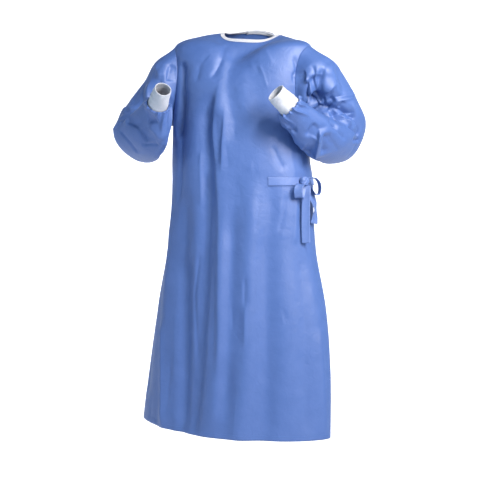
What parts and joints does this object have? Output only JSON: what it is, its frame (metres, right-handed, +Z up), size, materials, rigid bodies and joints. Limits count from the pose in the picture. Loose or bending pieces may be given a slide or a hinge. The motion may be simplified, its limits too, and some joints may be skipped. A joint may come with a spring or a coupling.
{
  "type": "surgical gown",
  "caption": "Surgical gown in blue nonwoven cloth, hollow and open as worn, with knitted cuffs, bound neck, lapped back and a belt tied in a bow.",
  "frame": {"origin": "middle of the neck opening at the height of the shoulder points, where a figure or hanger holds it", "axes": "+Z up along the gown from hem to neck; the front faces -Y and +X is the wearer's left"},
  "size_m": [0.7555, 0.5146, 1.2391],
  "materials": {
    "blue_nonwoven_cloth": "soft sheen, faint bonded dots",
    "white_knit": "matte ribbed knit"
  },
  "bodies": {
    "root": {"back_inner": "blue_nonwoven_cloth", "back_outer": "blue_nonwoven_cloth", "bow_end_back": "blue_nonwoven_cloth", "bow_end_front": "blue_nonwoven_cloth", "bow_knot": "blue_nonwoven_cloth", "bow_loop_back": "blue_nonwoven_cloth", "bow_loop_front": "blue_nonwoven_cloth", "cuff_left": "white_knit", "cuff_right": "white_knit", "front": "blue_nonwoven_cloth", "neck_binding": "white_knit", "sleeve_left": "blue_nonwoven_cloth", "sleeve_right": "blue_nonwoven_cloth", "tie_back": "blue_nonwoven_cloth", "tie_front": "blue_nonwoven_cloth"}
  },
  "joints": []
}
